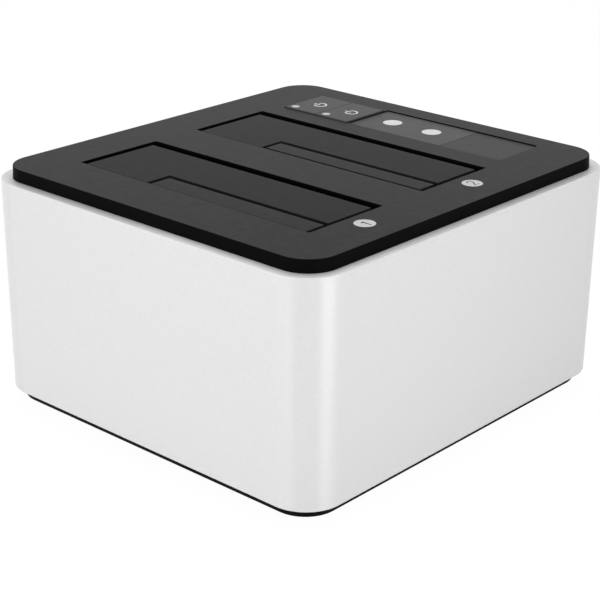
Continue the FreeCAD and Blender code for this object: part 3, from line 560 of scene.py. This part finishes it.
# pairs give slot 1 and slot 2 their own value
flaps = dict(largeTop=0.00015, smallTop=0.00012, thickness=0.002, edge=0.00018, slide=(0.0004, 0.0001),
             hingeGap=0.0037, freeGap=0.0004, endGap=0.00205, notchGapX=0.00195, notchGapY=0.00155,
             smallHingeGap=0.001, smallEndGap=0.00205, smallWidth=0.0079, smallLength=0.06915,
             smallLip=(0.0007, -0.0002), smallTrim=(0.0004, 0.0), armWidth=0.008, armEnd=0.006,
             armDepth=0.0022, armRoot=0.005, smallArmRoot=0.004, hingeOffset=0.0004, hingeDrop=0.0046,
             knuckle=0.0016, bore=0.00086, stopReach=0.001, stopGap=0.0003, stopRoot=0.002,
             largeStopAt=0.014, largeStopWidth=0.006, smallStopAt=0.003, smallStopWidth=0.003, upright=0.3,
             knuckleSteps=40, boreSteps=32)


def barAlongY(name, outline, y0, y1):
    points = [Vector((x, y0, z)) for x, z in outline]
    return asObject(name, prismMesh(points, Vector((0, y1 - y0, 0))))


def barAlongX(name, outline, x0, x1):
    points = [Vector((x0, y, z)) for y, z in outline]
    return asObject(name, prismMesh(points, Vector((x1 - x0, 0, 0))))


def ring(x, z, radius, steps):
    return [(x + radius * math.cos(math.tau * i / steps), z + radius * math.sin(math.tau * i / steps))
            for i in range(steps)]


def hingeArm(axisX, axisZ, edgeX, rootX, under, y0):
    # runs from under the flap down to its knuckle on the pin
    y1 = y0 + flaps["armWidth"]
    r = flaps["knuckle"]
    outline = [(rootX, under), (edgeX, under), (axisX, axisZ + r), (axisX, axisZ - r),
               (rootX, under - flaps["armDepth"])]
    knuckle = ring(axisX, axisZ, r, flaps["knuckleSteps"])
    return [barAlongY("arm", outline, y0, y1), barAlongY("knuckle", knuckle, y0, y1)]


def stopTab(x0, x1, edgeY, tipY, under):
    # reaches past the flap's end and stops it under the plate
    side = 1 if tipY > edgeY else -1
    root = edgeY - side * flaps["stopRoot"]
    top = plateTop - plate["wall"] - flaps["stopGap"]
    low = under - flaps["armDepth"]
    outline = [(root, under), (edgeY, under), (edgeY, top), (tipY, top), (tipY, low), (root, low)]
    return barAlongX("stop", outline, x0, x1)


def flapSlab(name, corners, under, slide):
    # the flap's own plate; slide moves it towards the front
    points = [Vector((x, y - slide, under)) for x, y in corners]
    slab = asObject(name, prismMesh(points, Vector((0, 0, flaps["thickness"]))))
    softenEdges(slab, flaps["edge"])
    return slab


def finishFlap(flap, node, parts, bore, face):
    joinSolids(flap, parts, "UNION")
    joinSolids(flap, [bore], "DIFFERENCE")
    # the flap walls take the lighter wall grey: painted light in the gaps
    coverWalls(flap, plastics[face], plastics["flapWallPaintedLight"], flaps["upright"])
    place(flap, node + "_body", None, [node])


def buildLargeFlap(number):
    # an L: the small flap fills its front left corner
    low, high = slotBox(number)
    under = plateTop - flaps["largeTop"] - flaps["thickness"]
    x0, x1 = low.x + flaps["freeGap"], high.x - flaps["hingeGap"]
    y0, y1 = low.y + flaps["endGap"], high.y - flaps["endGap"]
    notchX = low.x + flaps["smallHingeGap"] + flaps["smallWidth"] + flaps["notchGapX"]
    notchY = low.y + flaps["smallEndGap"] + flaps["smallLength"] + flaps["notchGapY"]
    corners = [(notchX, y0), (x1, y0), (x1, y1), (x0, y1), (x0, notchY), (notchX, notchY)]
    flap = flapSlab("largeFlap%d" % number, corners, under, flaps["slide"][number - 1])
    axisX, axisZ = high.x + flaps["hingeOffset"], plateTop - flaps["hingeDrop"]
    parts = []
    for start in (y0 + flaps["armEnd"], y1 - flaps["armEnd"] - flaps["armWidth"]):
        parts += hingeArm(axisX, axisZ, x1 - flaps["edge"], x1 - flaps["armRoot"], under + overlap, start)
    stopX = low.x + flaps["largeStopAt"]
    for edgeY, tipY in ((y0 + flaps["edge"], low.y - flaps["stopReach"]),
                        (y1 - flaps["edge"], high.y + flaps["stopReach"])):
        parts.append(stopTab(stopX, stopX + flaps["largeStopWidth"], edgeY, tipY, under + overlap))
    bore = barAlongY("bore", ring(axisX, axisZ, flaps["bore"], flaps["boreSteps"]), y0, y1)
    finishFlap(flap, "large_flap_%d" % number, parts, bore, "flap")


def buildSmallFlap(number):
    # hinges on the side away from the large flap's hinge
    low = slotBox(number)[0]
    under = plateTop - flaps["smallTop"] - flaps["thickness"]
    x0, y0 = low.x + flaps["smallHingeGap"], low.y + flaps["smallEndGap"]
    x1, y1 = x0 + flaps["smallWidth"], y0 + flaps["smallLength"]
    lip = x0 - flaps["smallLip"][number - 1]
    rear = y1 - flaps["smallTrim"][number - 1]
    corners = [(lip, y0), (x1, y0), (x1, rear), (lip, rear)]
    flap = flapSlab("smallFlap%d" % number, corners, under, flaps["slide"][number - 1])
    axisX, axisZ = low.x - flaps["hingeOffset"], plateTop - flaps["hingeDrop"]
    parts = []
    for start in (y0 + flaps["armEnd"], y1 - flaps["armEnd"] - flaps["armWidth"]):
        parts += hingeArm(axisX, axisZ, x0 + flaps["edge"], x0 + flaps["smallArmRoot"],
                          under + overlap, start)
    stopX = low.x + flaps["smallStopAt"]
    parts.append(stopTab(stopX, stopX + flaps["smallStopWidth"], y0 + flaps["edge"],
                         low.y - flaps["stopReach"], under + overlap))
    bore = barAlongY("bore", ring(axisX, axisZ, flaps["bore"], flaps["boreSteps"]), y0, y1)
    finishFlap(flap, "small_flap_%d" % number, parts, bore, "smallFlap")


for number in (1, 2):
    buildLargeFlap(number)
    buildSmallFlap(number)
print("flaps ready")


keys = dict(corner=0.0004, topRound=0.0002, reach=0.0009, sideStep=0.00004, lip=0.00014, skin=0.0001,
            flange=0.0010, flangeGap=0.0002, flangeCorner=0.0001, plunger=0.0015, hole=0.00165,
            lensGap=0.00005, dome=0.0001, upright=0.3, iconX=0.01076, iconY=0.00849, iconRadius=0.00225,
            iconLine=0.0006, iconGap=38, stemLow=0.0003, stemHigh=0.0031, ink=0.00002, cornerSteps=6,
            holeSteps=40, plungerSteps=32, domeSteps=6, domeFull=0.95, iconSteps=40)


def ribbon(name, paths, width, bottom, top):
    # flat printed strokes of constant width along open paths
    leastBend = 0.5  # keeps a sharp corner from running out to a spike
    bm = bmesh.new()
    for path in paths:
        sides = []
        for i, point in enumerate(path):
            ahead = (path[min(i + 1, len(path) - 1)] - path[max(i - 1, 0)]).normalized()
            across = Vector((-ahead.y, ahead.x))
            bend = 1.0
            if 0 < i < len(path) - 1:
                before = (point - path[i - 1]).normalized()
                bend = 1 / max(abs(across.dot(Vector((-before.y, before.x)))), leastBend)
            sides.append((point + across * width / 2 * bend, point - across * width / 2 * bend))
        outline = [s[0] for s in sides] + [s[1] for s in reversed(sides)]
        rings = [[bm.verts.new((p.x, p.y, z)) for p in outline] for z in (bottom, top)]
        count = len(sides)
        for edge in rings:
            for i in range(count - 1):
                bm.faces.new((edge[i], edge[i + 1], edge[2 * count - 2 - i], edge[2 * count - 1 - i]))
        for i in range(2 * count):
            j = (i + 1) % (2 * count)
            bm.faces.new((rings[0][i], rings[0][j], rings[1][j], rings[1][i]))
    bmesh.ops.recalc_face_normals(bm, faces=bm.faces)
    return asObject(name, bm)


def arcPath(centre, radius, start, end, steps):
    path = []
    for i in range(steps + 1):
        angle = math.radians(start + (end - start) * i / steps)
        path.append(centre + Vector((radius * math.cos(angle), radius * math.sin(angle))))
    return path


def keyCap(number, low, high, capLow, capHigh):
    # a flange under the plate, the cap itself and, above the plate, a fine lip that closes on the other key
    flangeTop = plateTop - plate["wall"] - keys["flangeGap"]
    flangeLow = flangeTop - keys["flange"]
    skinLow = plateTop - keys["skin"]
    lip = Vector((0, keys["lip"]))
    lipLow = capLow - lip if number == 1 else capLow
    lipHigh = capHigh + lip if number == 2 else capHigh
    steps = keys["cornerSteps"]
    loops = [roundedLoop(flat(low), flat(high), keys["flangeCorner"], z, steps)
             for z in (flangeLow, flangeTop)]
    loops += [insetLoop(capLow, capHigh, keys["corner"], 0, z, steps) for z in (flangeTop, skinLow)]
    for inset, drop in [(0, high.z - plateTop)] + quarterRound(keys["topRound"]):
        loops.append(insetLoop(lipLow, lipHigh, keys["corner"], inset, high.z - drop, steps))
    cap = asObject("powerKey%d" % number, loftMesh(loops))
    window = middle("key_window_%d" % number)
    hole = [circleLoop(window, keys["hole"], z, keys["holeSteps"])
            for z in (flangeLow - overshoot, high.z + overshoot)]
    joinSolids(cap, [asObject("windowHole", loftMesh(hole))], "DIFFERENCE")
    centre = (capLow + capHigh) / 2
    plunger = [circleLoop(centre, keys["plunger"], z, keys["plungerSteps"])
               for z in (low.z, flangeLow + overlap)]
    joinSolids(cap, [asObject("plunger", loftMesh(plunger))], "UNION")
    # walls below the plate top take the darker wall grey: painted shade in the key gaps
    coverWalls(cap, plastics["key"], plastics["keyWallPaintedShade"], keys["upright"], skinLow)
    return cap


def keyLens(number):
    # the light pipe ends in a low dome, a little fuller than round
    node = "key_window_%d" % number
    low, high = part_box(node)
    radius = keys["hole"] - keys["lensGap"]
    shoulder = high.z - keys["dome"]
    rings = [(radius, low.z), (radius, shoulder)]
    for step in range(1, keys["domeSteps"]):
        angle = math.pi / 2 * step / keys["domeSteps"]
        rings.append((radius * math.cos(angle * keys["domeFull"]), shoulder + keys["dome"] * math.sin(angle)))
    loops = [circleLoop(middle(node), reach, z, keys["holeSteps"]) for reach, z in rings]
    return asObject("keyLens%d" % number, loftMesh(loops))


def powerSymbol(number, capLow, capHigh, top):
    # an open ring with a bar at its rear
    at = Vector((capLow.x + keys["iconX"], capHigh.y - keys["iconY"]))
    gap = keys["iconGap"]
    circle = arcPath(at, keys["iconRadius"], 90 + gap, 450 - gap, keys["iconSteps"])
    bar = [at + Vector((0, keys["stemLow"])), at + Vector((0, keys["stemHigh"]))]
    return ribbon("powerSymbol%d" % number, [circle, bar], keys["iconLine"], top - inkSunk, top + keys["ink"])


def buildKey(number):
    node = "power_key_%d" % number
    body = node + "_body"
    low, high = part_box(node)
    step = Vector((keys["reach"], keys["sideStep"]))
    capLow, capHigh = flat(low) + step, flat(high) - step
    place(keyCap(number, low, high, capLow, capHigh), body, None, [node])
    place(keyLens(number), body, plastics["lens"], ["key_window_%d" % number])
    place(powerSymbol(number, capLow, capHigh, high.z), body, plastics["whitePrint"])


for number in (1, 2):
    buildKey(number)
print("power keys ready")


inlay = dict(corner=0.00195, rearCorner=0.00012, edge=0.00006, hole=0.0037, stem=0.0027, discEdge=0.00005,
             crown=0.00006, ink=0.00002, discSteps=64, edgeSteps=3, crownSteps=7)


def roundDisc(name, node, crown, bottom=None):
    # a disc with a softened rim and a slight crown
    low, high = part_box(node)
    centre = middle(node)
    radius = (high.x - low.x) / 2
    base = low.z if bottom is None else bottom
    rings = [(radius, base)]
    for inset, drop in quarterRound(inlay["discEdge"], inlay["edgeSteps"]):
        rings.append((radius - inset, high.z - crown - drop))
    for step in range(1, inlay["crownSteps"]):
        left = 1 - step / inlay["crownSteps"]  # share of the radius that is left
        rings.append(((radius - inlay["discEdge"]) * left, high.z - crown * left ** 2))
    loops = [circleLoop(centre, reach, z, inlay["discSteps"]) for reach, z in rings]
    return asObject(name, loftMesh(loops))


def buildInlays():
    rear = inlayShape("statusPanel", flat(inlayLow), flat(inlayHigh), inlayLow.z, inlayHigh.z,
                      inlay["rearCorner"], inlay["edge"])
    holes = []
    for number in (1, 2):
        centre = middle("status_light_%d" % number)
        depths = (inlayLow.z - overshoot, inlayHigh.z + overshoot)
        loops = [circleLoop(centre, inlay["hole"], z, inlay["discSteps"]) for z in depths]
        holes.append(asObject("lightHole", loftMesh(loops)))
    joinSolids(rear, holes, "DIFFERENCE")
    place(rear, "housing", plastics["inlay"], ["status_panel"])
    front = inlayShape("frontPanel", flat(frontInlayLow), flat(frontInlayHigh), frontInlayLow.z,
                       frontInlayHigh.z, inlay["corner"], inlay["edge"])
    place(front, "housing", plastics["inlayFront"], ["front_panel"])
    for number in (1, 2):
        node = "status_light_%d" % number
        light = roundDisc("statusLight%d" % number, node, inlay["crown"], inlayLow.z)
        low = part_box(node)[0]
        stem = [circleLoop(middle(node), inlay["stem"], z) for z in (low.z, inlayLow.z + overlap)]
        joinSolids(light, [asObject("stem", loftMesh(stem))], "UNION")
        place(light, "housing", plastics["lightWhite"], [node])


# shares of the digit's height and width
digits = dict(height=0.0039, width=0.0021, line=0.00042, oneRight=0.12, oneTop=0.38, flagWidth=0.5,
              flagHeight=0.22, bowlStart=165, bowlEnd=-35, bowlSteps=18, footWidth=1.05)


def digitPaths(number, centre):
    height, width = digits["height"], digits["width"]
    if number == 1:
        top = centre + Vector((width * digits["oneRight"], height * digits["oneTop"]))
        flag = top - Vector((width * digits["flagWidth"], height * digits["flagHeight"]))
        return [[flag, top, top - Vector((0, height))]]
    radius = width / 2
    bowl = centre + Vector((0, height / 2 - radius))
    foot = centre - Vector((radius, height / 2))
    curve = arcPath(bowl, radius, digits["bowlStart"], digits["bowlEnd"], digits["bowlSteps"])
    return [curve + [foot, foot + Vector((width * digits["footWidth"], 0))]]


def buildNumbers():
    for number in (1, 2):
        node = "number_disc_%d" % number
        disc = roundDisc("numberDisc%d" % number, node, 0.0)
        place(disc, "housing", plastics["discWhite"], [node])
        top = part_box(node)[1].z
        digit = ribbon("digit%d" % number, digitPaths(number, flat(middle(node))), digits["line"],
                       top - inkSunk, top + inlay["ink"])
        place(digit, "housing", plastics["darkPrint"])


buildInlays()
buildNumbers()
print("inlay and discs ready")


def finishNodes(names, material, angle=30):
    # CAD solids that keep their own shape and only take a finish
    for name in names:
        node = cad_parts[name]
        node.data.materials.clear()
        node.data.materials.append(material)
        node.data.shade_smooth()
        node.data.set_sharp_from_angle(angle=math.radians(angle))


def numbered(stem, count=2):
    return [stem % n for n in range(1, count + 1)]


finishNodes(["base_tray"], plastics["base"])
finishNodes(numbered("rubber_foot_%d", 4), plastics["rubber"])
finishNodes(numbered("drive_well_%d"), plastics["well"])
finishNodes(numbered("drive_socket_%d") + ["cable_headers", "dc_inlet", "usb_tongue"], plastics["nylon"])
finishNodes(numbered("key_switch_%d") + numbered("switch_stem_%d"), plastics["nylon"])
finishNodes(["main_board", "control_board"], board)
finishNodes(["controller_chip", "bridge_chips"], plastics["chip"])
finishNodes(["inductors"], plastics["ferrite"])
finishNodes(["capacitors"], metals["canMetal"])
finishNodes(["control_cable"], plastics["cableJacket"])
finishNodes(["status_leds"], plastics["ledResin"])
finishNodes(["usb_socket", "dc_pin"], metals["nickel"])
finishNodes(["base_screws", "top_screws", "board_screws", "control_screws"] + numbered("well_screws_%d"),
            metals["screwZinc"])
finishNodes(numbered("large_flap_pin_%d") + numbered("small_flap_pin_%d"), metals["pinSteel"])
finishNodes(numbered("large_flap_spring_%d") + numbered("small_flap_spring_%d"), metals["springWire"])
print("base and inside ready")


studio = dict(floorHalf=6.0, floorDrop=0.00005, floorShade=0.60, floorVary=0.005, floorGrain=0.02,
              floorRough=0.9, floorGloss=0.1, floorGlow=0.93, glow=1.045, ambient=0.40)


def lightPathMask(tree):
    # 1 for what the camera, a mirror or clear glass sees
    path = tree.nodes.new("ShaderNodeLightPath")
    total = path.outputs["Is Camera Ray"]
    for name in ("Is Glossy Ray", "Is Transmission Ray"):
        total = mathStep(tree, "ADD", total, path.outputs[name], clamp=True)
    return total


def floorFinish():
    # white paper that glows for the camera and keeps the object's shadow
    material, tree, shader, where = startMaterial("floorPaper")
    paper = grainNoise(tree, where, studio["floorGrain"], detail=4.0)
    level = studio["floorShade"]
    dark = grey(level * (1 - studio["floorVary"]))
    tree.links.new(tone(tree, paper, dark, grey(level)), shader.inputs["Base Color"])
    shader.inputs["Roughness"].default_value = studio["floorRough"]
    shader.inputs["Specular IOR Level"].default_value = studio["floorGloss"]
    glow = tree.nodes.new("ShaderNodeEmission")
    glow.inputs["Strength"].default_value = studio["glow"]
    mix = tree.nodes.new("ShaderNodeMixShader")
    share = mathStep(tree, "MULTIPLY", lightPathMask(tree), studio["floorGlow"])
    tree.links.new(share, mix.inputs["Fac"])
    tree.links.new(shader.outputs["BSDF"], mix.inputs[1])
    tree.links.new(glow.outputs["Emission"], mix.inputs[2])
    tree.links.new(mix.outputs["Shader"], tree.nodes["Material Output"].inputs["Surface"])
    return material


def buildFloor():
    half = studio["floorHalf"]
    z = -studio["floorDrop"]
    corners = ((-half, -half, z), (half, -half, z), (half, half, z), (-half, half, z))
    bm = bmesh.new()
    bm.faces.new([bm.verts.new(corner) for corner in corners])
    floor = asObject("floor", bm)
    floor.data.materials.append(floorFinish())


def buildWorld():
    world = bpy.data.worlds.new("studio")
    bpy.context.scene.world = world
    world.use_nodes = True
    tree = world.node_tree
    background = tree.nodes["Background"]
    strength = spread(tree, lightPathMask(tree), studio["ambient"], 1.0, 0.0, 1.0)
    tree.links.new(strength, background.inputs["Strength"])
    background.inputs["Color"].default_value = (1, 1, 1, 1)


def softbox(name, at, aim, width, height, power):
    data = bpy.data.lights.new(name, "AREA")
    data.shape = "RECTANGLE"
    data.size = width
    data.size_y = height
    data.energy = power
    lamp = bpy.data.objects.new(name, data)
    bpy.context.scene.collection.objects.link(lamp)
    lamp.visible_camera = False
    lamp.location = at
    lamp.rotation_euler = (Vector(aim) - Vector(at)).to_track_quat("-Z", "Y").to_euler()


lamps = {
    "topBox": dict(at=(0.17, 0.22, 0.72), aim=(0.02, 0.02, 0.08), width=0.5, height=0.5, power=2.0),
    "leftBox": dict(at=(-0.97, 0.30, 0.20), aim=(0, 0, 0.06), width=1.1, height=0.36, power=5.6),
    "frontBox": dict(at=(0.05, -1.00, 0.20), aim=(-0.04, 0, 0.06), width=0.8, height=0.36, power=0.9),
    "nearBox": dict(at=(-0.065, -0.38, 0.14), aim=(-0.08, -0.075, 0.04), width=0.17, height=0.22, power=0.47),
}
view = dict(at=(-0.4095, -0.3652, 0.2551), yaw=-48.126, pitch=-21.929, roll=0.50, lens=98.94, sensor=36.0,
            nearest=0.01)


def buildCamera():
    data = bpy.data.cameras.new("camera")
    data.lens = view["lens"]
    data.sensor_width = view["sensor"]
    data.clip_start = view["nearest"]
    camera = bpy.data.objects.new("camera", data)
    bpy.context.scene.collection.objects.link(camera)
    turn = (Matrix.Rotation(math.radians(view["yaw"]), 4, "Z")
            @ Matrix.Rotation(math.radians(90 + view["pitch"]), 4, "X")
            @ Matrix.Rotation(math.radians(view["roll"]), 4, "Z"))
    camera.matrix_world = Matrix.Translation(Vector(view["at"])) @ turn
    bpy.context.scene.camera = camera


buildFloor()
buildWorld()
for name, lamp in lamps.items():
    softbox(name, **lamp)
buildCamera()
bpy.context.scene.view_settings.view_transform = "Standard"
print("studio ready")
